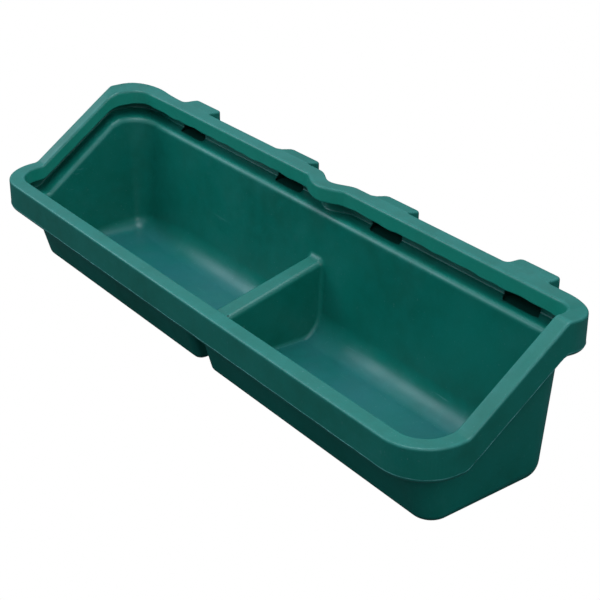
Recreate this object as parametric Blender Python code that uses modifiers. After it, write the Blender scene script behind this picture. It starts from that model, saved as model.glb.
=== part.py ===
"""Hook-over feed trough with two compartments.

The real trough is one hollow moulding of green polyethylene. Here its regions are separate solids that meet
with a small gap: two compartments, a divider cap, the walls above them, a ledge, a channel-shaped rim and four
hooks. Metres, +Z up. The trough stands on z = 0, its front faces -Y, and its length runs along X.
"""

import math

import bmesh
import bpy
from mathutils import Matrix, Vector

# Driving dimensions of the whole trough
RIM_LENGTH = 1.000
RIM_DEPTH = 0.278
FRONT_HEIGHT = 0.132
BACK_HEIGHT = 0.218
WALL = 0.004
GAP = 0.0003

# Rim: an inverted channel of an outer skirt, a flat top and a short inner lip
RIM_WIDTH = 0.023
SKIRT_HEIGHT = 0.044
LIP_HEIGHT = 0.019
RIM_EDGE = 0.0025
FRONT_CORNER_RADIUS = 0.060
BACK_CORNER_RADIUS = 0.060
CORNER_RISE = 0.012
RAMP_START = 0.072
LEDGE_RAMP_END = 0.192
RIM_RAMP_END = 0.209
RAMP_EASE = 0.007
SCALLOP_DEPTH = 0.015
SCALLOP_HALF_WIDTH = 0.042

# Hooks on the back of the rim, for a gate's top rail
HOOK_CENTRES = (-0.361, -0.108, 0.108, 0.361)
HOOK_WIDTH = 0.068
HOOK_REACH = 0.024
HOOK_FINGER = 0.008
HOOK_DROP = 0.045
HOOK_TOP_FALL = 0.005
HOOK_EDGE = 0.001

# Basin: its outer faces where they meet the ledge, and where they would meet the ground with no rounding
BASIN_HALF_TOP = 0.470
BASIN_HALF_BASE = 0.458
BASIN_FRONT_TOP = 0.033
BASIN_FRONT_BASE = 0.058
BASIN_BACK_TOP = 0.250
BASIN_BACK_BASE = 0.236
BASIN_CORNER_RADIUS = 0.040
BASIN_FLOOR_RADIUS = 0.022

# Divider: a hollow ridge, open below, whose top slopes down to the front
DIVIDER_HALF_WIDTH = 0.0145
DIVIDER_DRAFT = 0.04
DIVIDER_FRONT_TOP = 0.057
DIVIDER_BACK_TOP = 0.117

# Places that follow from the dimensions above
FRONT_Y = -(RIM_DEPTH + HOOK_REACH) / 2
BACK_Y = FRONT_Y + RIM_DEPTH
FRONT_LEDGE = FRONT_HEIGHT - SKIRT_HEIGHT
BACK_LEDGE = BACK_HEIGHT - SKIRT_HEIGHT
CORNER_STEPS = 6
BEYOND = 0.050

COLOUR = (0.004, 0.090, 0.066, 1.0)
ROUGHNESS = 0.42


def empty_scene():
    for thing in list(bpy.data.objects):
        bpy.data.objects.remove(thing, do_unlink=True)


def new_collection(name):
    made = bpy.data.collections.new(name)
    bpy.context.scene.collection.children.link(made)
    return made


def polyethylene(name):
    """A satin green plastic for one region."""
    made = bpy.data.materials.new(name + "_plastic")
    made.use_nodes = True
    shader = made.node_tree.nodes["Principled BSDF"]
    shader.inputs["Base Color"].default_value = COLOUR
    shader.inputs["Roughness"].default_value = ROUGHNESS
    shader.inputs["Metallic"].default_value = 0.0
    return made


def region(name, mesh):
    """A visible region of the moulding, with its own material."""
    made = bpy.data.objects.new(name, mesh)
    made.data.materials.append(polyethylene(name))
    TROUGH.objects.link(made)
    return made


def helper(name, mesh):
    """A solid that only cuts others."""
    made = bpy.data.objects.new(name, mesh)
    made.hide_render = True
    made.display_type = "WIRE"
    CUTTERS.objects.link(made)
    return made


def boolean(target, other, operation):
    modifier = target.modifiers.new(operation.lower() + "_" + other.name, "BOOLEAN")
    modifier.operation = operation
    modifier.solver = "EXACT"
    modifier.object = other
    return target


def box(low, high, turn=None):
    """A box between two corners, turned about the world's origin if a matrix is given."""
    made = bmesh.new()
    bmesh.ops.create_cube(made, size=1.0)
    size = Vector(high) - Vector(low)
    middle = (Vector(high) + Vector(low)) / 2
    bmesh.ops.scale(made, vec=size, verts=made.verts)
    bmesh.ops.translate(made, vec=middle, verts=made.verts)
    if turn is not None:
        bmesh.ops.transform(made, matrix=turn, verts=made.verts)
    mesh = bpy.data.meshes.new("box")
    made.to_mesh(mesh)
    made.free()
    return mesh


def loft(loops, closed_path=False):
    """A solid skin through loops of equal length, capped at both ends unless the path closes on itself."""
    made = bmesh.new()
    rings = [[made.verts.new(point) for point in loop] for loop in loops]
    count = len(rings[0])
    pairs = list(zip(rings, rings[1:]))
    if closed_path:
        pairs.append((rings[-1], rings[0]))
    for ring, following in pairs:
        for i in range(count):
            j = (i + 1) % count
            made.faces.new((ring[i], ring[j], following[j], following[i]))
    if not closed_path:
        made.faces.new(rings[0])
        made.faces.new(rings[-1])
    bmesh.ops.recalc_face_normals(made, faces=made.faces)
    mesh = bpy.data.meshes.new("loft")
    made.to_mesh(mesh)
    made.free()
    return mesh


def prism_along_x(points, half_length):
    """A closed (y, z) outline, extruded both ways along X."""
    curve = bpy.data.curves.new("outline", "CURVE")
    curve.dimensions = "2D"
    curve.fill_mode = "BOTH"
    curve.extrude = half_length
    line = curve.splines.new("POLY")
    line.points.add(len(points) - 1)
    for point, (y, z) in zip(line.points, points):
        point.co = (y, z, 0.0, 1.0)
    line.use_cyclic_u = True
    holder = bpy.data.objects.new("outline", curve)
    CUTTERS.objects.link(holder)
    evaluated = holder.evaluated_get(bpy.context.evaluated_depsgraph_get())
    mesh = bpy.data.meshes.new_from_object(evaluated)
    bpy.data.objects.remove(holder, do_unlink=True)
    made = bmesh.new()
    made.from_mesh(mesh)
    bmesh.ops.remove_doubles(made, verts=made.verts, dist=1e-6)
    # The curve's own X, Y and Z become the trough's Y, Z and X
    to_world = Matrix(((0, 0, 1, 0), (1, 0, 0, 0), (0, 1, 0, 0), (0, 0, 0, 1)))
    bmesh.ops.transform(made, matrix=to_world, verts=made.verts)
    bmesh.ops.recalc_face_normals(made, faces=made.faces)
    made.to_mesh(mesh)
    made.free()
    return mesh


# Heights along the ends, and the rim's outline in plan


def eased(distance):
    """Zero before 0 and the distance after it, joined by a parabola."""
    if distance <= -RAMP_EASE:
        return 0.0
    if distance >= RAMP_EASE:
        return distance
    return (distance + RAMP_EASE) ** 2 / (4 * RAMP_EASE)


def climb(y, ramp_end, rise):
    """The height gained at a given y by a ramp that climbs in all by rise."""
    from_front = y - FRONT_Y
    slope = rise / (ramp_end - RAMP_START)
    return slope * (eased(from_front - RAMP_START) - eased(from_front - ramp_end))


def ledge_height(y):
    """The ledge's lower face: low at the front, a ramp along the ends, level and high at the back."""
    return FRONT_LEDGE + climb(y, LEDGE_RAMP_END, BACK_LEDGE - FRONT_LEDGE)


def end_top(y):
    """The top of the rim along an end, which climbs past the back rail's height."""
    return FRONT_HEIGHT + climb(y, RIM_RAMP_END, BACK_HEIGHT + CORNER_RISE - FRONT_HEIGHT)


def corner(centre, radius, start_angle):
    """Points and outward normals of a quarter arc, anticlockwise from start_angle in degrees."""
    found = []
    for step in range(CORNER_STEPS + 1):
        angle = math.radians(start_angle + 90 * step / CORNER_STEPS)
        normal = Vector((math.cos(angle), math.sin(angle)))
        found.append((Vector(centre) + normal * radius, normal))
    return found


def end_stations():
    """The y values along an end where its slope changes, between its two corners."""
    found = []
    for bend in (RAMP_START, LEDGE_RAMP_END, RIM_RAMP_END):
        found += [FRONT_Y + bend + RAMP_EASE * (step - 2) / 2 for step in range(5)]
    return found


def scallop_line():
    """The rim's stations along the scallop, from +X to -X."""
    found = []
    steps = 14
    middle_y = BACK_Y - RIM_WIDTH / 2
    for step in range(steps + 1):
        x = SCALLOP_HALF_WIDTH * (1 - 2 * step / steps)
        phase = math.pi * x / SCALLOP_HALF_WIDTH
        y = middle_y - SCALLOP_DEPTH * (1 + math.cos(phase)) / 2
        slope = SCALLOP_DEPTH * math.sin(phase) * math.pi / (2 * SCALLOP_HALF_WIDTH)
        found.append((Vector((x, y)), Vector((-slope, 1)).normalized(), BACK_HEIGHT))
    return found


def back_corner(centre_x, centre_y, radius, start_angle):
    """The rim's stations round a back corner, where its top sinks from the end's height to the back's."""
    arc = corner((centre_x, centre_y), radius, start_angle)
    return [(point, normal, BACK_HEIGHT + CORNER_RISE * abs(normal.x)) for point, normal in arc]


def front_corner(centre_x, centre_y, radius, start_angle):
    """The rim's stations round a front corner."""
    arc = corner((centre_x, centre_y), radius, start_angle)
    return [(point, normal, FRONT_HEIGHT) for point, normal in arc]


def rim_line():
    """The rim in stretches, anticlockwise. A station is a point of its middle line, a normal and the top's height."""
    inset = RIM_WIDTH / 2
    end_x = RIM_LENGTH / 2 - inset
    front = FRONT_Y + FRONT_CORNER_RADIUS
    back = BACK_Y - BACK_CORNER_RADIUS
    front_x = RIM_LENGTH / 2 - FRONT_CORNER_RADIUS
    back_x = RIM_LENGTH / 2 - BACK_CORNER_RADIUS
    front_radius = FRONT_CORNER_RADIUS - inset
    back_radius = BACK_CORNER_RADIUS - inset
    stations = end_stations()
    right = front_corner(front_x, front, front_radius, -90)
    right += [(Vector((end_x, y)), Vector((1, 0)), end_top(y)) for y in stations]
    right += back_corner(back_x, back, back_radius, 0)
    left = back_corner(-back_x, back, back_radius, 90)
    left += [(Vector((-end_x, y)), Vector((-1, 0)), end_top(y)) for y in reversed(stations)]
    left += front_corner(-front_x, front, front_radius, 180)
    scallop = scallop_line()
    return {
        "right": right,
        "back_right": [right[-1], scallop[0]],
        "scallop": scallop,
        "back_left": [scallop[-1], left[0]],
        "left": left,
        "front": [left[-1], right[0]],
    }


def along(station, inward, drop):
    """A point of the rim's section: a distance in from the outer face, and down from the top or, for None, at the ledge."""
    point, normal, top = station
    place = point + normal * (RIM_WIDTH / 2 - inward)
    z = ledge_height(place.y) if drop is None else top - drop
    return Vector((place.x, place.y, z))


def shortened(stretch):
    """A stretch of the rim's stations whose two ends stand back by half a gap."""
    first, second = stretch[0][0], stretch[1][0]
    last, before = stretch[-1][0], stretch[-2][0]
    start = first + (second - first).normalized() * GAP / 2
    end = last + (before - last).normalized() * GAP / 2
    return [(start, *stretch[0][1:])] + stretch[1:-1] + [(end, *stretch[-1][1:])]


RIM_SECTION = (
    (0, None),
    (0, RIM_EDGE),
    (RIM_EDGE, 0),
    (RIM_WIDTH - RIM_EDGE, 0),
    (RIM_WIDTH, RIM_EDGE),
    (RIM_WIDTH, LIP_HEIGHT),
    (RIM_WIDTH - WALL, LIP_HEIGHT),
    (RIM_WIDTH - WALL, WALL),
    (WALL, WALL),
    (WALL, None),
)


def make_rim():
    made = {}
    for side, stretch in rim_line().items():
        loops = []
        for station in shortened(stretch):
            loops.append([along(station, inward, drop) for inward, drop in RIM_SECTION])
        made[side] = region("rim_" + side, loft(loops))
    return made


# Hooks


def hook_profile():
    """The (y, z) outline of a hook: a lug behind the rim and a finger that hangs from its outer edge."""
    inner = BACK_Y + GAP
    outer = BACK_Y + HOOK_REACH
    finger = outer - HOOK_FINGER
    top = BACK_HEIGHT
    lug_floor = BACK_LEDGE
    tip = lug_floor - HOOK_DROP
    outer_top = BACK_HEIGHT - HOOK_TOP_FALL
    return [(inner, top), (outer, outer_top), (outer, tip), (finger, tip), (finger, lug_floor), (inner, lug_floor)]


def make_hooks(rim):
    """Four hooks, hollow behind the rim, and the openings in the skirt that their hollows meet."""
    half = HOOK_WIDTH / 2
    for number, centre in enumerate(HOOK_CENTRES, start=1):
        mesh = prism_along_x(hook_profile(), half)
        mesh.transform(Matrix.Translation((centre, 0, 0)))
        hook = region(f"hook_{number}", mesh)
        low = (centre - half + WALL, BACK_Y - 2 * WALL, BACK_LEDGE + WALL)
        high = (centre + half - WALL, BACK_Y + HOOK_REACH - WALL, BACK_HEIGHT - HOOK_TOP_FALL - WALL)
        hollow = helper(f"hook_hollow_{number}", box(low, high))
        boolean(hook, hollow, "DIFFERENCE")
        boolean(rim["back_left"] if centre < 0 else rim["back_right"], hollow, "DIFFERENCE")
        bevel = hook.modifiers.new("soft_edges", "BEVEL")
        bevel.width = HOOK_EDGE
        bevel.segments = 1
        bevel.limit_method = "ANGLE"
        bevel.angle_limit = math.radians(60)


# Basin


def between(low_value, high_value, share):
    return low_value + (high_value - low_value) * share


def basin_loop(z, inset):
    """The basin's rounded outline in plan at a height, moved in by a distance."""
    half = between(BASIN_HALF_BASE, BASIN_HALF_TOP, z / BACK_LEDGE) - inset
    front = FRONT_Y + between(BASIN_FRONT_BASE, BASIN_FRONT_TOP, z / FRONT_LEDGE) + inset
    back = FRONT_Y + between(BASIN_BACK_BASE, BASIN_BACK_TOP, z / BACK_LEDGE) - inset
    radius = BASIN_CORNER_RADIUS - inset
    arcs = (
        corner((half - radius, front + radius), radius, -90)
        + corner((half - radius, back - radius), radius, 0)
        + corner((radius - half, back - radius), radius, 90)
        + corner((radius - half, front + radius), radius, 180)
    )
    return [Vector((point.x, point.y)) for point, normal in arcs]


def basin_block(inset):
    """A solid with the basin's outer shape, moved in by a distance from its walls and its floor."""
    radius = BASIN_FLOOR_RADIUS - inset
    loops = []
    for step in range(6):
        angle = math.radians(90 * step / 5)
        z = inset + radius * (1 - math.cos(angle))
        drawn_in = inset + radius * (1 - math.sin(angle))
        loops.append([(p.x, p.y, z) for p in basin_loop(z, drawn_in)])
    top = BACK_HEIGHT + BEYOND
    loops.append([(p.x, p.y, top) for p in basin_loop(top, inset)])
    return loft(loops)


def divider_plane():
    """The angle of the divider's top, and the matrix that turns level things to lie along it."""
    front = FRONT_Y + BASIN_FRONT_TOP
    run = BASIN_BACK_TOP - BASIN_FRONT_TOP
    angle = math.atan2(DIVIDER_BACK_TOP - DIVIDER_FRONT_TOP, run)
    return Matrix.Translation((0, front, DIVIDER_FRONT_TOP)) @ Matrix.Rotation(angle, 4, "X")


def level_box(name, below, above):
    """A wide box between two distances from the divider's sloping top."""
    low = (-RIM_LENGTH, -RIM_DEPTH, below)
    high = (RIM_LENGTH, 2 * RIM_DEPTH, above)
    return helper(name, box(low, high, divider_plane()))


def side_room(name, side, inset):
    """All the room on one side of the divider, up to a face that leans with the draft."""
    high = BACK_HEIGHT + 2 * BEYOND
    lean = math.atan(DIVIDER_DRAFT)
    low_corner = (0, -RIM_DEPTH, -high)
    high_corner = (RIM_LENGTH, RIM_DEPTH, high)
    face = (DIVIDER_HALF_WIDTH - inset, 0, DIVIDER_BACK_TOP)
    placed = Matrix.Translation(face) @ Matrix.Rotation(-lean, 4, "Y")
    if side < 0:
        placed = Matrix.Scale(-1, 4, (1, 0, 0)) @ placed
    mesh = box(low_corner, high_corner, placed)
    if side < 0:
        mesh.flip_normals()
    return helper(name, mesh)


def make_compartments():
    above = level_box("above_compartments", -WALL - GAP, RIM_DEPTH)
    for name, side in (("left_compartment", -1), ("right_compartment", 1)):
        cavity = helper(name + "_hollow", basin_block(WALL))
        boolean(cavity, side_room(name + "_inner_room", side, 0.0), "INTERSECT")
        shape = region(name, basin_block(0.0))
        boolean(shape, side_room(name + "_outer_room", side, WALL), "INTERSECT")
        boolean(shape, cavity, "DIFFERENCE")
        boolean(shape, above, "DIFFERENCE")


def make_divider():
    """The ridge's cap, a flat strip that bridges the two compartments' inner walls."""
    width = DIVIDER_HALF_WIDTH
    low = (-width, -RIM_DEPTH, -WALL)
    high = (width, 2 * RIM_DEPTH, 0)
    cap = region("divider_cap", box(low, high, divider_plane()))
    boolean(cap, helper("divider_room", basin_block(WALL + GAP)), "INTERSECT")


def ledge_profile(height):
    """The ledge's lower face, raised by height, as (y, z) points from front to back."""
    ys = [FRONT_Y - BEYOND] + end_stations() + [BACK_Y + BEYOND]
    return [(y, ledge_height(y) + height) for y in ys]


def quarters():
    """Boxes that part a ring in four: its two ends, with their corners, and the front and back between."""
    split = BASIN_HALF_BASE - BASIN_CORNER_RADIUS
    middle = (FRONT_Y + BACK_Y) / 2
    half_gap = GAP / 2
    low_z, high_z = -BEYOND, BACK_HEIGHT + BEYOND
    far_x, far_y = RIM_LENGTH, RIM_DEPTH
    return {
        "left": ((-far_x, -far_y, low_z), (-split - half_gap, far_y, high_z)),
        "right": ((split + half_gap, -far_y, low_z), (far_x, far_y, high_z)),
        "front": ((half_gap - split, -far_y, low_z), (split - half_gap, middle, high_z)),
        "back": ((half_gap - split, middle, low_z), (split - half_gap, far_y, high_z)),
    }


def make_upper_walls_and_ledge():
    """The basin's walls above the compartments, and the ledge from them out to the rim's skirt."""
    inner = helper("basin_inside", basin_block(WALL))
    outer = helper("basin_outside", basin_block(-GAP))
    below = level_box("below_upper_walls", -RIM_DEPTH, -WALL)
    high = BACK_HEIGHT + 2 * BEYOND
    upper = ledge_profile(WALL) + [(BACK_Y + BEYOND, high), (FRONT_Y - BEYOND, high)]
    above = helper("above_upper_walls", prism_along_x(upper, RIM_LENGTH))
    sheet = ledge_profile(0) + ledge_profile(WALL)[::-1]
    inside_skirt = []
    for stretch in rim_line().values():
        inside_skirt += [along(station, WALL + GAP, 0).to_2d() for station in stretch[:-1]]
    room = [[(p.x, p.y, z) for p in inside_skirt] for z in (0, BACK_HEIGHT)]
    skirt_room = helper("inside_skirt", loft(room))
    for side, (low, high) in quarters().items():
        quarter = helper("quarter_" + side, box(low, high))
        wall = region("upper_wall_" + side, basin_block(0.0))
        boolean(wall, inner, "DIFFERENCE")
        boolean(wall, below, "DIFFERENCE")
        boolean(wall, above, "DIFFERENCE")
        boolean(wall, quarter, "INTERSECT")
        ledge = region("ledge_" + side, prism_along_x(sheet, RIM_LENGTH / 2))
        boolean(ledge, skirt_room, "INTERSECT")
        boolean(ledge, outer, "DIFFERENCE")
        boolean(ledge, quarter, "INTERSECT")


empty_scene()
TROUGH = new_collection("hook_over_trough")
CUTTERS = new_collection("cutters")
RIM = make_rim()
make_hooks(RIM)
make_compartments()
make_divider()
make_upper_walls_and_ledge()
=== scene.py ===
"""The looks of a hook-over feed trough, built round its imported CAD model.

The real trough is one seamless moulding of green polyethylene. The CAD model parts it into named regions,
and here one skin stands for all of them. The skin is described as a signed distance, negative inside the
plastic, and a closed mesh is laid over its surface. Metres, +Z up, front facing -Y, length along X.
"""

import math

import bpy
import numpy as np
from mathutils import Matrix, Vector


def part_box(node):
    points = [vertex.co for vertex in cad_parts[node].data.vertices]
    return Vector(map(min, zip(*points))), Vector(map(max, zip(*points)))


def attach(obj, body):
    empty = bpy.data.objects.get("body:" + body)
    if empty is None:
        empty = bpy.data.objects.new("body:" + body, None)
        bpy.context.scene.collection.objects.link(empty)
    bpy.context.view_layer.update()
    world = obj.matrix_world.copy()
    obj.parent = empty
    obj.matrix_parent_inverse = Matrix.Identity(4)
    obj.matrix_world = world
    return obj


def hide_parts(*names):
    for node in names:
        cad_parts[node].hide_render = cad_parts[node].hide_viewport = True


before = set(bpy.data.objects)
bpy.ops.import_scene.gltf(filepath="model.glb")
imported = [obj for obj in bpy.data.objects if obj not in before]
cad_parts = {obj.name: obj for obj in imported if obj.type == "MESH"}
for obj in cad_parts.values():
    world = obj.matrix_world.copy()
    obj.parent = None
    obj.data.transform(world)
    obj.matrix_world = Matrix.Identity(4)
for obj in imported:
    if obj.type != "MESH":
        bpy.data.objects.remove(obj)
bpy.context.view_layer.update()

# Places taken from the CAD model
FRONT_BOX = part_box("rim_front")
BACK_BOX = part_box("rim_back_left")
END_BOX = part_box("rim_right")
HOOK_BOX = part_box("hook_4")
HALF_LENGTH = END_BOX[1].x
FRONT_Y = FRONT_BOX[0].y
BACK_Y = BACK_BOX[1].y
FRONT_TOP = FRONT_BOX[1].z
BACK_TOP = BACK_BOX[1].z
CORNER_TOP = END_BOX[1].z
SKIRT_HEIGHT = FRONT_TOP - FRONT_BOX[0].z
FRONT_LEDGE = FRONT_TOP - SKIRT_HEIGHT
BACK_LEDGE = BACK_TOP - SKIRT_HEIGHT
HOOK_CENTRES = [sum(corner.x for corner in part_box(f"hook_{n}")) / 2 for n in (3, 4)]
HOOK_HALF = (HOOK_BOX[1].x - HOOK_BOX[0].x) / 2
HOOK_BACK = HOOK_BOX[1].y
HOOK_TIP = HOOK_BOX[0].z

# The rim: an outer skirt, a flat top and an inner lip round a channel.
# CORNER_WIDENINGS, FRONT_CORNERS and BACK_CORNERS give the right half's value and then the left's.
WALL = 0.004
RIM_WIDTH = 0.023
LIP_HEIGHT = 0.020
LIP_LEAN = 0.11
CORNER_SPOT = (0.462, 0.089)
CORNER_SPREAD = 0.032
CORNER_WIDENINGS = (0.001, 0.005)
RIM_EDGE = 0.0030
LIP_EDGE = 0.0032
LIP_END = 0.0012
LIP_WAVE = 0.0005
LIP_RIPPLE = 0.0003
SKIRT_EDGE = 0.0065
SHOULDER = 0.003
FRONT_CORNERS = (0.058, 0.070)
BACK_CORNERS = (0.070, 0.050)
RAMP_START = 0.072
RAMP_END = 0.207
RAMP_EASE = 0.004
OVERRUN = 0.1
LEFT_FALL = (0.400, 2.4)
RIGHT_FALL = (0.430, 0.040, 0.067)
SCALLOP_DEPTH = 0.015
SCALLOP_HALF = 0.042

# The tub below the ledge, by its outer faces. Depths are measured from the front of the rim.
END_BASE = 0.458
END_LEAN = 0.012 / BACK_LEDGE
FRONT_BASE = 0.058
FRONT_LEAN = 0.025 / FRONT_LEDGE
BACK_BASE = 0.236
BACK_LEAN = 0.014 / BACK_LEDGE
CORNER_BASE = 0.026
CORNER_GROWTH = 0.08
FLOOR_EDGE_FRONT = 0.011
FLOOR_EDGE_BACK = 0.040
FLOOR_EDGE_END = 0.026
FLOOR_EDGE_SPREAD = 0.12
CORNER_GROWTH_TOP = 0.2

# The divider, a ridge pushed up from below
DIVIDER_START = 0.033
DIVIDER_RUN = 0.227
DIVIDER_HALF = 0.0145
DIVIDER_DRAFT = 0.04
DIVIDER_FRONT_TOP = 0.057
DIVIDER_BACK_TOP = 0.117
DIVIDER_EDGE = 0.003
DIVIDER_FILLET = 0.010
NOTCH_HALF = 0.015
NOTCH_DEPTH = 0.014

# The hooks
HOOK_FALLS = (0.005, 0.001)
HOOK_FINGER = 0.008
HOOK_CORNER = 0.007
HOOK_ROOT = 0.006
HOOK_EDGE = 0.003
RAIL_EDGE = 0.0015
SLOT_REACH = 0.011
SLOT_FLOOR = 0.0015
SLOT_EDGE = 0.003
SLOT_SKEW = 0.008

# The line of flash round the skirt
FLASH_DROP = 0.038
FLASH_PROUD = 0.00035
FLASH_HALF = 0.00045
FLASH_STEP = 0.004

# The plan tables, and the mesh with the values that its material reads
PLAN_STEP = 0.001
PLAN_FAR = (0.512, 0.165)
KEPT_SHARE = 0.26
FINE_REACH = 0.0006
BEND_REACH = 0.0015
FULL_BEND = 420
# Where the material paints shade into the hook slots, a sky reflection on the floor and a highlight on the
# lip
SLOT_SHADE_MARGIN = 0.001
FLOOR_REFLECTION_TOP = 0.045
LIP_HIGHLIGHT_BAND = (0.003, 0.009, 0.3)
LIP_HIGHLIGHT_DEPTHS = (0.0025, 0.022)


# Rounded joins of two signed distances


def cut(a, b):
    return np.maximum(a, b)


def round_cut(a, b, radius):
    """What two solids share, with the edge between their faces rounded."""
    outside = np.hypot(np.maximum(a + radius, 0), np.maximum(b + radius, 0))
    return np.minimum(np.maximum(a, b), -radius) + outside


def round_join(a, b, radius):
    """Two solids together, with a fillet where their faces meet."""
    inside = np.hypot(np.maximum(radius - a, 0), np.maximum(radius - b, 0))
    return np.maximum(np.minimum(a, b), radius) - inside


# The rim in plan


def eased(distance):
    """Zero before 0 and the distance after it, joined by a parabola."""
    near = np.clip(distance, -RAMP_EASE, RAMP_EASE)
    return np.where(distance > RAMP_EASE, distance, (near + RAMP_EASE) ** 2 / (4 * RAMP_EASE))


def end_top(y):
    """The height of the rim's top at y, along the trough's ends."""
    run = y - FRONT_Y
    steepness = (CORNER_TOP - FRONT_TOP) / (RAMP_END - RAMP_START)
    return FRONT_TOP + steepness * (eased(run - RAMP_START) - eased(run - RAMP_END))


def rim_top(x, y):
    """The height of the rim's top anywhere. Past the back corners it sinks to the back rail's height."""
    end = end_top(y)
    left = np.clip((-x - LEFT_FALL[0]) / (HALF_LENGTH - LEFT_FALL[0]), 0, 1) ** LEFT_FALL[1]
    right = np.clip((x - RIGHT_FALL[0]) / RIGHT_FALL[1], 0, 1) * np.clip((BACK_Y - y) / RIGHT_FALL[2], 0, 1)
    share = left + right
    return end - (1 - share) * np.maximum(end - BACK_TOP, 0)


def arc(centre, radius, start, steps):
    """Points of a quarter circle, anticlockwise from a start angle in degrees."""
    angles = np.radians(start + 90 * np.linspace(0, 1, steps + 1))
    return np.column_stack([centre[0] + radius * np.cos(angles), centre[1] + radius * np.sin(angles)])


def outline(side):
    """Half of the rim's outer edge from front to back, as if on the right, with its top's heights."""
    front_corner, back_corner = FRONT_CORNERS[side], BACK_CORNERS[side]
    front_centre = (HALF_LENGTH - front_corner, FRONT_Y + front_corner)
    back_centre = (HALF_LENGTH - back_corner, BACK_Y - back_corner)
    front = np.array([(-OVERRUN, FRONT_Y), (0.0, FRONT_Y)])
    front_arc = arc(front_centre, front_corner, -90, 20)
    ys = np.linspace(front_centre[1], back_centre[1], 100)[1:-1]
    end = np.column_stack([np.full(len(ys), HALF_LENGTH), ys])
    back_arc = arc(back_centre, back_corner, 0, 20)
    xs = np.linspace(back_centre[0], SCALLOP_HALF, 80)[1:-1]
    back = np.column_stack([xs, np.full(len(xs), BACK_Y)])
    xs = np.linspace(SCALLOP_HALF, -SCALLOP_HALF, 57)
    dip = SCALLOP_DEPTH * (1 + np.cos(np.pi * xs / SCALLOP_HALF)) / 2
    scallop = np.column_stack([xs, BACK_Y - dip])
    points = np.vstack([front, front_arc, end, back_arc, back, scallop, [(-OVERRUN, BACK_Y)]])
    return points, rim_top(points[:, 0] * (1 - 2 * side), points[:, 1])


def plan_tables(side):
    """Over a half plan: the distance in from the rim's outer edge, and how level the rim is there."""
    points, top = outline(side)
    xs = np.arange(0, PLAN_FAR[0], PLAN_STEP)
    ys = np.arange(-PLAN_FAR[1], PLAN_FAR[1], PLAN_STEP)
    x, y = np.meshgrid(xs, ys, indexing="ij")
    nearest = np.full(x.shape, np.inf)
    tables = np.zeros((2,) + x.shape)
    for i in range(len(points) - 1):
        start, run = points[i], points[i + 1] - points[i]
        length = np.hypot(*run)
        share = np.clip(((x - start[0]) * run[0] + (y - start[1]) * run[1]) / length**2, 0, 1)
        dx = x - start[0] - share * run[0]
        dy = y - start[1] - share * run[1]
        far = dx * dx + dy * dy
        closer = far < nearest
        side_of = np.where(run[0] * dy - run[1] * dx > 0, 1.0, -1.0)
        rise = top[i + 1] - top[i]
        level = np.full(x.shape, length / math.hypot(length, rise))
        for table, value in zip(tables, (side_of * np.sqrt(far), level)):
            table[closer] = value[closer]
        nearest = np.minimum(nearest, far)
    return tables


def read_plan(x, y):
    """The plan tables at any points: the left half's for negative x and the right half's for the rest."""
    across = np.clip(np.abs(x) / PLAN_STEP, 0, PLAN.shape[2] - 1.001)
    deep = np.clip((y + PLAN_FAR[1]) / PLAN_STEP, 0, PLAN.shape[3] - 1.001)
    across, deep, side = np.broadcast_arrays(across, deep, (np.asarray(x) < 0).astype(int))
    i, j = across.astype(int), deep.astype(int)
    u, v = across - i, deep - j
    weights = ((1 - u) * (1 - v), u * (1 - v), (1 - u) * v, u * v)
    places = ((i, j), (i + 1, j), (i, j + 1), (i + 1, j + 1))
    found = []
    for table in range(2):
        found.append(sum(w * PLAN[side, table, i_at, j_at] for w, (i_at, j_at) in zip(weights, places)))
    return found


# The solid


def tub(x, y, z):
    """The tub's outer volume, with no top, less the groove under its divider."""
    end = np.abs(x) - END_BASE - END_LEAN * z
    front = (FRONT_Y + FRONT_BASE - FRONT_LEAN * z - y) / math.hypot(1, FRONT_LEAN)
    back = (y - FRONT_Y - BACK_BASE - BACK_LEAN * z) / math.hypot(1, BACK_LEAN)
    corner = CORNER_BASE + CORNER_GROWTH * np.clip(z, 0, CORNER_GROWTH_TOP)
    walls = round_cut(round_cut(end, front, corner), back, corner)
    across = np.clip((y - FRONT_Y - FRONT_BASE) / (BACK_BASE - FRONT_BASE), 0, 1)
    near_end = np.clip((np.abs(x) - END_BASE + FLOOR_EDGE_SPREAD) / FLOOR_EDGE_SPREAD, 0, 1)
    back_edge = FLOOR_EDGE_BACK + (FLOOR_EDGE_END - FLOOR_EDGE_BACK) * near_end
    floor_edge = FLOOR_EDGE_FRONT + (back_edge - FLOOR_EDGE_FRONT) * across
    whole = round_cut(walls, -z, floor_edge)

    slope = (DIVIDER_BACK_TOP - DIVIDER_FRONT_TOP) / DIVIDER_RUN
    roof = DIVIDER_FRONT_TOP - WALL + slope * (y - FRONT_Y - DIVIDER_START)
    groove_side = np.abs(x) - (DIVIDER_HALF - WALL) - DIVIDER_DRAFT * (DIVIDER_BACK_TOP - z)
    groove = round_cut(groove_side, (z - roof) / math.hypot(1, slope), DIVIDER_EDGE)
    notch = round_cut(np.abs(x) - NOTCH_HALF, -front - NOTCH_DEPTH, DIVIDER_EDGE)
    hollow = round_join(groove, notch, DIVIDER_EDGE)
    return round_cut(whole, -hollow, DIVIDER_FILLET)


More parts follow.
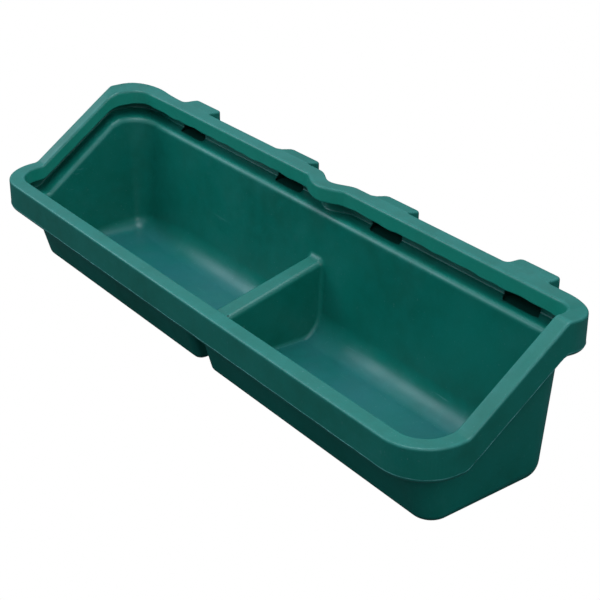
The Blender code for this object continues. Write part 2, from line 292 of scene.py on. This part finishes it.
def hooks(x, y, z, inward):
    """The hooks' solid lugs and fingers, and the hollows that open into the rim's channel."""
    offset = np.abs(x) - np.where(np.abs(x) < sum(HOOK_CENTRES) / 2, *HOOK_CENTRES)
    aside = np.abs(offset)
    fall = np.where(np.abs(x) < sum(HOOK_CENTRES) / 2, *HOOK_FALLS)
    above = z - (BACK_TOP - fall * np.clip((y - BACK_Y) / (HOOK_BACK - BACK_Y), 0, 1))
    plan = round_cut(aside - HOOK_HALF, y - HOOK_BACK, HOOK_CORNER)
    rooted = round_join(plan, -inward, HOOK_ROOT)
    block = round_cut(round_cut(rooted, above, HOOK_EDGE), HOOK_TIP - z, HOOK_EDGE)
    rail = round_cut(y - (HOOK_BACK - HOOK_FINGER), z - BACK_LEDGE, HOOK_EDGE)
    block = round_cut(block, -rail, RAIL_EDGE)
    root = np.where(z > BACK_LEDGE + SKIRT_EDGE, HOOK_ROOT, 0)
    block = cut(block, cut(BACK_Y - WALL / 2 - y, aside - HOOK_HALF - root))
    skew = SLOT_SKEW * np.clip((BACK_Y - WALL - y) / SLOT_REACH, 0, 1) * np.where(np.asarray(x) > 0, 1, -1)
    sides = cut(np.abs(offset - skew) - HOOK_HALF + WALL, y - HOOK_BACK + WALL)
    floor = BACK_LEDGE + SLOT_FLOOR - z
    hollow = cut(round_cut(sides, BACK_Y - WALL - SLOT_REACH - y, SLOT_EDGE), cut(above + WALL, floor))
    return block, hollow


def trough(x, y, z):
    """The whole moulding's signed distance."""
    inward, level = read_plan(x, y)
    top = rim_top(x, y)
    below = (top - z) * level
    under = (top - SKIRT_HEIGHT - z) * level
    under_lip = (top - LIP_HEIGHT - z) * level
    band = round_cut(-inward, under, SKIRT_EDGE)
    body = round_join(band, tub(x, y, z), SHOULDER)
    body = cut(body, -below)
    mouth = cut(RIM_WIDTH / 2 - inward, under_lip)
    near_corner = np.hypot(np.abs(x) - CORNER_SPOT[0], y - CORNER_SPOT[1]) / CORNER_SPREAD
    widening = np.where(x > 0, *CORNER_WIDENINGS) * np.exp(-(near_corner**2))
    width = RIM_WIDTH + widening + LIP_LEAN * np.clip(top - z, 0, LIP_HEIGHT)
    skin = cut(cut(body, -body - WALL), -mouth)

    hood = round_cut(round_cut(-inward, -below, RIM_EDGE), inward - width, LIP_EDGE)
    wave = LIP_WAVE * (np.sin(x * 61) + np.sin(x * 143 + 1.3)) + LIP_RIPPLE * np.sin(y * 210 + x * 37)
    open_side = cut(RIM_WIDTH / 2 - inward, wave - under_lip)
    hood = round_cut(cut(hood, -hood - WALL), -open_side, LIP_END)
    hood = cut(hood, under + 2 * SKIRT_EDGE)
    skin = cut(skin, round_cut(-inward, -below, RIM_EDGE))

    block, hollow = hooks(x, y, z, inward)
    return cut(np.minimum(np.minimum(skin, hood), block), -hollow)


# A closed mesh over the solid's surface


def spaced(*stretches):
    """Grid lines from the first value on, as (end, step) stretches."""
    lines = [stretches[0]]
    for end, step in stretches[1:]:
        count = max(1, round((end - lines[-1]) / step))
        lines += list(np.linspace(lines[-1], end, count + 1)[1:])
    return np.array(lines)


def grid_lines():
    hook = HOOK_HALF + 0.008
    near, far = HOOK_CENTRES
    half = spaced(
        0.0,
        (0.026, 0.002),
        (near - hook, 0.003),
        (near + hook, 0.002),
        (far - hook, 0.0035),
        (0.478, 0.002),
        (HALF_LENGTH + 0.004, 0.0015),
    )
    xs = np.concatenate([-half[:0:-1], half])
    ys = spaced(
        FRONT_Y - 0.0035,
        (FRONT_Y + 0.027, 0.0015),
        (FRONT_Y + 0.085, 0.002),
        (BACK_Y - 0.078, 0.003),
        (BACK_Y - 0.027, 0.002),
        (HOOK_BACK + 0.003, 0.0015),
    )
    zs = spaced(
        -0.0035,
        (0.030, 0.002),
        (FRONT_LEDGE - 0.008, 0.003),
        (FRONT_TOP + 0.003, 0.0015),
        (BACK_LEDGE - 0.008, 0.0022),
        (CORNER_TOP + 0.004, 0.0015),
    )
    return xs, ys, zs


def surface_net(field, xs, ys, zs):
    """Quads over the field's zero surface: one vertex in each grid cell it crosses, one quad on each edge."""
    values = np.empty((len(xs), len(ys), len(zs)), np.float32)
    for start in range(0, len(xs), 16):
        part = slice(start, start + 16)
        values[part] = field(xs[part, None, None], ys[None, :, None], zs[None, None, :])
    lines = [xs, ys, zs]
    cells = tuple(n - 1 for n in values.shape)
    total = np.zeros(cells + (3,), np.float32)
    crossings = np.zeros(cells, np.int16)
    edges = []
    for axis in range(3):
        low = np.moveaxis(values, axis, 0)[:-1]
        high = np.moveaxis(values, axis, 0)[1:]
        crossed = np.moveaxis((low < 0) != (high < 0), 0, axis)
        at = np.argwhere(crossed)
        v0 = values[tuple(at.T)]
        step = np.zeros(3, int)
        step[axis] = 1
        v1 = values[tuple((at + step).T)]
        share = v0 / (v0 - v1)
        point = np.column_stack([lines[a][at[:, a]] for a in range(3)])
        point[:, axis] += share * (lines[axis][at[:, axis] + 1] - lines[axis][at[:, axis]])
        b, c = [a for a in range(3) if a != axis]
        around = []
        for db, dc in ((0, 0), (1, 0), (1, 1), (0, 1)):
            cell = at.copy()
            cell[:, b] -= db
            cell[:, c] -= dc
            np.add.at(total, tuple(cell.T), point)
            np.add.at(crossings, tuple(cell.T), 1)
            around.append(np.ravel_multi_index(tuple(cell.T), cells))
        quad = np.column_stack(around)
        turned = (v0 < 0) == (axis == 1)
        quad[turned] = quad[turned][:, ::-1]
        edges.append(quad)
    quads = np.vstack(edges)
    used, numbered = np.unique(quads, return_inverse=True)
    cell = np.unravel_index(used, cells)
    vertices = total[cell] / crossings[cell][:, None]
    return vertices.astype(float), numbered.reshape(quads.shape)


def slopes(field, points, reach=0.0002):
    """The field at each point, its gradient, and the sum of its values a step away on all six sides."""
    here = field(*points.T)
    gradient = np.empty(points.shape)
    around = np.zeros(len(points))
    for axis in range(3):
        step = np.zeros(3)
        step[axis] = reach
        ahead = field(*(points + step).T)
        behind = field(*(points - step).T)
        gradient[:, axis] = (ahead - behind) / (2 * reach)
        around += ahead + behind
    return here, gradient, around


def settled(field, points, rounds, reach=0.0012):
    """Points moved onto the field's zero surface, each by no more than a short way."""
    for _ in range(rounds):
        here, gradient, _ = slopes(field, points)
        square = np.maximum((gradient**2).sum(1), 0.2)
        move = -(here / square)[:, None] * gradient
        length = np.linalg.norm(move, axis=1)
        points = points + move * np.minimum(1, reach / np.maximum(length, 1e-9))[:, None]
    return points


def moulding():
    vertices, quads = surface_net(trough, *grid_lines())
    vertices = settled(trough, vertices, 2)
    mesh = bpy.data.meshes.new("trough_moulding")
    mesh.from_pydata(vertices.tolist(), [], quads.tolist())
    piece = bpy.data.objects.new("trough_moulding", mesh)
    bpy.context.scene.collection.objects.link(piece)
    return piece


def finish_mesh(piece, ratio):
    """Thins the mesh where it is flat, puts it back on the surface and shades it by the solid's normals."""
    thin = piece.modifiers.new("thin", "DECIMATE")
    thin.ratio = ratio
    evaluated = piece.evaluated_get(bpy.context.evaluated_depsgraph_get())
    mesh = bpy.data.meshes.new_from_object(evaluated)
    piece.modifiers.clear()
    piece.data = mesh
    points = np.empty(len(mesh.vertices) * 3)
    mesh.vertices.foreach_get("co", points)
    points = settled(trough, points.reshape(-1, 3), 2, FINE_REACH)
    mesh.vertices.foreach_set("co", points.ravel())
    mesh.shade_smooth()
    _, gradient, _ = slopes(trough, points, FINE_REACH)
    normals = gradient / np.maximum(np.linalg.norm(gradient, axis=1), 1e-9)[:, None]
    mesh.normals_split_custom_set_from_vertices(normals.tolist())
    mark_regions(mesh, points, normals)
    return piece


def mark_regions(mesh, points, normals):
    """Marks worn edges, dusty creases, painted shade in the hook slots, a painted sky reflection on the floor
    and a painted highlight on the lip, for the material to read.
    """
    here, _, around = slopes(trough, points, BEND_REACH)
    bend = (around - 6 * here) / BEND_REACH**2
    x, y, z = points.T
    inward = read_plan(x, y)[0]
    _, hollow = hooks(x, y, z, inward)
    # Painted shade: the hook hollows are marked to be coloured dark where shade falls.
    inside = (hollow < SLOT_SHADE_MARGIN) & (z < BACK_TOP - WALL)
    # Painted sky reflection: upward faces low in the tub are marked to be coloured bluer and paler.
    floor_sky_reflection = np.clip(normals[:, 2], 0, 1) ** 2 * np.clip(1.6 - z / FLOOR_REFLECTION_TOP, 0, 1)
    # Painted highlight: a band on the lip's inner face is marked to be coloured lighter.
    offset, reach, ease = LIP_HIGHLIGHT_BAND
    lip_highlight_mask = np.clip(1 - np.abs(inward - RIM_WIDTH - offset) / reach, 0, 1) ** ease
    down = rim_top(x, y) - z
    surface_value(mesh, "edge", np.clip(bend / FULL_BEND, 0, 1))
    surface_value(mesh, "crease", np.clip(-bend / FULL_BEND, 0, 1))
    surface_value(mesh, "slot_shade", inside.astype(float))
    surface_value(mesh, "floor", floor_sky_reflection)
    surface_value(mesh, "lip_highlight", lip_highlight_mask * (down > LIP_HIGHLIGHT_DEPTHS[0]) * (down < LIP_HIGHLIGHT_DEPTHS[1]))


def surface_value(mesh, name, values):
    """Keeps one number for each vertex where a material can read it."""
    made = mesh.attributes.new(name, "FLOAT", "POINT")
    made.data.foreach_set("value", values.astype(np.float32))


def rim_path():
    """The rim's outer edge from one back corner round the front to the other, with its top's height."""
    halves = []
    for side in range(2):
        points, top = outline(side)
        kept = (points[:, 0] > 0) & ((points[:, 1] < 0) | (points[:, 0] > HALF_LENGTH - BACK_CORNERS[side]))
        halves.append(np.column_stack([points[kept] * (1 - 2 * side, 1), top[kept]]))
    return np.vstack([halves[1][::-1], halves[0]])


def parting_line():
    """The thin line of flash that the mould's two halves leave round the skirt."""
    path = rim_path()
    stops = np.concatenate([[0], np.cumsum(np.linalg.norm(np.diff(path, axis=0), axis=1))])
    along = np.arange(0, stops[-1], FLASH_STEP)
    path = np.column_stack([np.interp(along, stops, path[:, a]) for a in range(3)])
    ahead = np.gradient(path, axis=0)
    ahead /= np.linalg.norm(ahead, axis=1)[:, None]
    out = np.column_stack([ahead[:, 1], -ahead[:, 0], np.zeros(len(path))])
    out /= np.linalg.norm(out, axis=1)[:, None]
    up = np.cross(out, ahead)
    rng = np.random.default_rng(7)
    proud = FLASH_PROUD * (0.75 + 0.5 * rng.random(len(path)))
    proud[rng.random(len(path)) < 0.03] *= 0.3
    drift = 0.00018 * np.sin(along * 90) + 0.00012 * np.sin(along * 231 + 1)
    middle = path - np.array([0, 0, FLASH_DROP]) + up * drift[:, None]
    rings = []
    for outward, upward in ((-0.5, -1), (0.75, -0.45), (1, 0), (0.75, 0.45), (-0.5, 1)):
        rings.append(middle + out * (outward * proud)[:, None] + up * (upward * FLASH_HALF))
    count, sides = len(path), len(rings)
    vertices = np.stack(rings, axis=1).reshape(-1, 3)
    faces = []
    for i in range(count - 1):
        for j in range(sides):
            k = (j + 1) % sides
            faces.append((i * sides + j, i * sides + k, (i + 1) * sides + k, (i + 1) * sides + j))
    faces.append(tuple(range(sides))[::-1])
    faces.append(tuple((count - 1) * sides + j for j in range(sides)))
    mesh = bpy.data.meshes.new("parting_line")
    mesh.from_pydata(vertices.tolist(), [], faces)
    mesh.shade_smooth()
    made = bpy.data.objects.new("parting_line", mesh)
    bpy.context.scene.collection.objects.link(made)
    return made


PLAN = np.array([plan_tables(side) for side in range(2)])
skin = finish_mesh(moulding(), KEPT_SHARE)
flash = parting_line()


# Materials


class Graph:
    """Short calls for a material's nodes. A socket takes a number, a colour or another node's output."""

    def __init__(self, name):
        self.made = bpy.data.materials.new(name)
        self.made.use_nodes = True
        self.tree = self.made.node_tree
        self.shader = self.tree.nodes["Principled BSDF"]

    def put(self, socket, value):
        if isinstance(value, bpy.types.NodeSocket):
            self.tree.links.new(value, socket)
        else:
            socket.default_value = value

    def node(self, kind, output, settings=(), **inputs):
        made = self.tree.nodes.new(kind)
        for name, value in settings:
            setattr(made, name, value)
        for name, value in inputs.items():
            key = int(name[1:]) if name[0] == "i" and name[1:].isdigit() else name.replace("_", " ")
            self.put(made.inputs[key], value)
        return made.outputs[output]

    def place(self, stretch):
        where = self.node("ShaderNodeTexCoord", "Object")
        return self.node("ShaderNodeMapping", "Vector", Vector=where, Scale=stretch)

    def noise(self, scale, detail=3.0, rough=0.5, stretch=(1, 1, 1)):
        place = self.place(stretch)
        inputs = {"Vector": place, "Scale": scale, "Detail": detail, "Roughness": rough}
        return self.node("ShaderNodeTexNoise", "Fac", **inputs)

    def ranged(self, value, low, high, start=0.0, end=1.0):
        inputs = {"From_Min": low, "From_Max": high, "To_Min": start, "To_Max": end}
        return self.node("ShaderNodeMapRange", "Result", Value=value, **inputs)

    def maths(self, operation, first, second):
        return self.node("ShaderNodeMath", "Value", [("operation", operation)], i0=first, i1=second)

    def mixed(self, share, first, second, blend="MIX"):
        settings = [("data_type", "RGBA"), ("blend_type", blend)]
        return self.node("ShaderNodeMix", 2, settings, i0=share, i6=first, i7=second)

    def attribute(self, name):
        return self.node("ShaderNodeAttribute", "Fac", [("attribute_name", name)])


def green_polyethylene():
    g = Graph("green_polyethylene")
    cloud = g.ranged(g.noise(7.0, 4.0, 0.55), 0.35, 0.65)
    colour = g.mixed(cloud, (0.0020, 0.142, 0.094, 1), (0.0030, 0.188, 0.130, 1))
    mottle = g.ranged(g.noise(46.0, 5.0, 0.6), 0.38, 0.66)
    colour = g.mixed(g.maths("MULTIPLY", mottle, 0.60), colour, (0.0038, 0.196, 0.142, 1))
    grain = g.ranged(g.noise(420.0, 2.0, 0.5), 0.30, 0.70)
    colour = g.mixed(g.maths("MULTIPLY", grain, 0.22), colour, (0.0014, 0.118, 0.080, 1))

    patches = g.ranged(g.noise(15.0, 5.0, 0.65), 0.50, 0.68)
    bloom = g.maths("MULTIPLY", patches, g.ranged(g.noise(160.0, 3.0, 0.6), 0.40, 0.72))
    colour = g.mixed(g.maths("MULTIPLY", bloom, 0.38), colour, (0.030, 0.215, 0.175, 1))

    worn = g.ranged(g.noise(60.0, 4.0, 0.6), 0.34, 0.62, 0.35, 1.0)
    edge = g.maths("MULTIPLY", g.attribute("edge"), worn)
    colour = g.mixed(g.maths("MULTIPLY", edge, 0.42), colour, (0.050, 0.290, 0.235, 1))
    # Painted highlight: the lip's inner face is coloured lighter, as if lit.
    colour = g.mixed(g.maths("MULTIPLY", g.attribute("lip_highlight"), 0.60), colour, (0.0130, 0.310, 0.205, 1))
    # Painted sky reflection: upward faces of the floor are coloured paler and bluer.
    floor_sky_reflection = g.maths("MULTIPLY", g.attribute("floor"), g.ranged(g.noise(9.0, 4.0, 0.6), 0.30, 0.66, 0.45, 1.0))
    colour = g.mixed(g.maths("MULTIPLY", floor_sky_reflection, 0.48), colour, (0.034, 0.165, 0.205, 1))

    long_scuffs = g.ranged(g.noise(26.0, 3.0, 0.6, (0.35, 9.0, 9.0)), 0.665, 0.70)
    cross_scuffs = g.ranged(g.noise(24.0, 3.0, 0.6, (9.0, 0.9, 5.0)), 0.675, 0.71)
    kept = g.ranged(g.noise(11.0, 2.0, 0.5), 0.48, 0.62)
    scuffs = g.maths("MULTIPLY", g.maths("MAXIMUM", long_scuffs, cross_scuffs), kept)
    colour = g.mixed(g.maths("MULTIPLY", scuffs, 0.42), colour, (0.070, 0.270, 0.230, 1))

    specks = g.ranged(g.noise(330.0, 1.0, 0.5), 0.735, 0.765)
    colour = g.mixed(g.maths("MULTIPLY", specks, 0.35), colour, (0.140, 0.300, 0.270, 1))
    dust = g.maths("MULTIPLY", g.attribute("crease"), g.ranged(g.noise(34.0, 4.0, 0.6), 0.42, 0.62))
    colour = g.mixed(g.maths("MULTIPLY", dust, 0.06), colour, (0.060, 0.160, 0.140, 1))
    # Painted shade: the hook slots are coloured nearly black.
    colour = g.mixed(g.maths("MULTIPLY", g.attribute("slot_shade"), 0.80), colour, (0.0006, 0.020, 0.012, 1))
    g.put(g.shader.inputs["Base Color"], colour)

    rough = g.ranged(g.noise(18.0, 5.0, 0.6), 0.35, 0.65, 0.31, 0.43)
    rough = g.maths("ADD", rough, g.maths("MULTIPLY", scuffs, 0.12))
    rough = g.maths("ADD", rough, g.maths("MULTIPLY", bloom, 0.10))
    g.put(g.shader.inputs["Roughness"], rough)
    g.shader.inputs["IOR"].default_value = 1.5

    waves = g.maths("MULTIPLY", g.noise(24.0, 2.0, 0.5), 0.00035)
    peel = g.maths("MULTIPLY", g.noise(300.0, 3.0, 0.6), 0.000035)
    lines = g.maths("MULTIPLY", scuffs, -0.00004)
    height = g.maths("ADD", g.maths("ADD", waves, peel), lines)
    bump = g.node("ShaderNodeBump", "Normal", Height=height, Strength=0.8, Distance=1.0)
    g.put(g.shader.inputs["Normal"], bump)
    return g.made


def pale_flash():
    g = Graph("pale_flash")
    worn = g.ranged(g.noise(90.0, 4.0, 0.6), 0.36, 0.64)
    g.put(g.shader.inputs["Base Color"], g.mixed(worn, (0.010, 0.150, 0.118, 1), (0.110, 0.330, 0.290, 1)))
    g.put(g.shader.inputs["Roughness"], g.ranged(g.noise(200.0, 3.0, 0.6), 0.3, 0.7, 0.42, 0.62))
    fine = g.maths("MULTIPLY", g.noise(500.0, 2.0, 0.5), 0.00005)
    bump = g.node("ShaderNodeBump", "Normal", Height=fine, Strength=0.8, Distance=1.0)
    g.put(g.shader.inputs["Normal"], bump)
    return g.made


def pale_floor():
    """White where it is seen, and a dark ground to the light that falls on the trough."""
    g = Graph("pale_floor")
    g.shader.inputs["Base Color"].default_value = (0.05, 0.05, 0.05, 1)
    g.shader.inputs["Roughness"].default_value = 0.9
    white = g.node("ShaderNodeEmission", "Emission", Color=(1, 1, 1, 1), Strength=1.0)
    seen = g.node("ShaderNodeLightPath", "Is Camera Ray")
    blend = g.node("ShaderNodeMixShader", "Shader", i0=seen, i1=g.shader.outputs["BSDF"], i2=white)
    g.put(g.tree.nodes["Material Output"].inputs["Surface"], blend)
    return g.made


skin.data.materials.append(green_polyethylene())
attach(skin, "root")
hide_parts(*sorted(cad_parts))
flash.data.materials.append(pale_flash())
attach(flash, "root")

# The stage

floor_mesh = bpy.data.meshes.new("floor")
floor_mesh.from_pydata([(-9, -9, 0), (9, -9, 0), (9, 9, 0), (-9, 9, 0)], [], [(0, 1, 2, 3)])
floor = bpy.data.objects.new("floor", floor_mesh)
floor_mesh.materials.append(pale_floor())
bpy.context.scene.collection.objects.link(floor)


def softbox(name, place, target, size, power, tint):
    lamp = bpy.data.lights.new(name, "AREA")
    lamp.shape = "RECTANGLE"
    lamp.size, lamp.size_y = size
    lamp.energy = power
    lamp.color = tint
    made = bpy.data.objects.new(name, lamp)
    made.location = place
    made.rotation_euler = (Vector(target) - Vector(place)).to_track_quat("-Z", "Y").to_euler()
    bpy.context.scene.collection.objects.link(made)


softbox("window", (-2.3, -1.45, 1.75), (0, 0, 0.1), (1.9, 1.3), 24, (0.72, 0.87, 1.0))
softbox("side", (2.6, -0.9, 1.9), (0, 0, 0.1), (1.5, 1.1), 10, (0.92, 0.98, 1.0))
softbox("overhead", (0.0, -0.1, 2.5), (0, 0, 0.1), (1.7, 1.1), 20.5, (0.84, 0.94, 1.0))


def overcast(world):
    """A pale blue-grey sky over a dark ground, seen by the camera as white."""
    world.use_nodes = True
    tree = world.node_tree
    sky = tree.nodes["Background"]
    where = tree.nodes.new("ShaderNodeTexCoord")
    parts = tree.nodes.new("ShaderNodeSeparateXYZ")
    tree.links.new(where.outputs["Generated"], parts.inputs["Vector"])
    fade = tree.nodes.new("ShaderNodeValToRGB")
    fade.color_ramp.elements[0].position = 0.0
    fade.color_ramp.elements[0].color = (0.02, 0.02, 0.02, 1)
    fade.color_ramp.elements[1].position = 0.55
    fade.color_ramp.elements[1].color = (0.55, 0.71, 0.90, 1)
    tree.links.new(parts.outputs["Z"], fade.inputs["Fac"])
    tree.links.new(fade.outputs["Color"], sky.inputs["Color"])
    sky.inputs["Strength"].default_value = 1.0
    white = tree.nodes.new("ShaderNodeBackground")
    white.inputs["Color"].default_value = (1, 1, 1, 1)
    seen = tree.nodes.new("ShaderNodeLightPath")
    blend = tree.nodes.new("ShaderNodeMixShader")
    tree.links.new(seen.outputs["Is Camera Ray"], blend.inputs[0])
    tree.links.new(sky.outputs["Background"], blend.inputs[1])
    tree.links.new(white.outputs["Background"], blend.inputs[2])
    tree.links.new(blend.outputs["Shader"], tree.nodes["World Output"].inputs["Surface"])


world = bpy.data.worlds.new("studio")
bpy.context.scene.world = world
overcast(world)

camera_data = bpy.data.cameras.new("camera")
camera_data.sensor_width = 36.0
camera_data.lens = 87.53
camera = bpy.data.objects.new("camera", camera_data)
right = Vector((0.58465, 0.81126, 0.00564))
down = Vector((0.36013, -0.25329, -0.89786))
ahead = Vector((-0.72697, 0.52697, -0.44025))
place = Vector((1.45220, -0.99004, 0.93405))
camera.matrix_world = Matrix([right, -down, -ahead]).transposed().to_4x4()
camera.location = place
bpy.context.scene.collection.objects.link(camera)
bpy.context.scene.camera = camera
bpy.context.scene.view_settings.view_transform = "Standard"
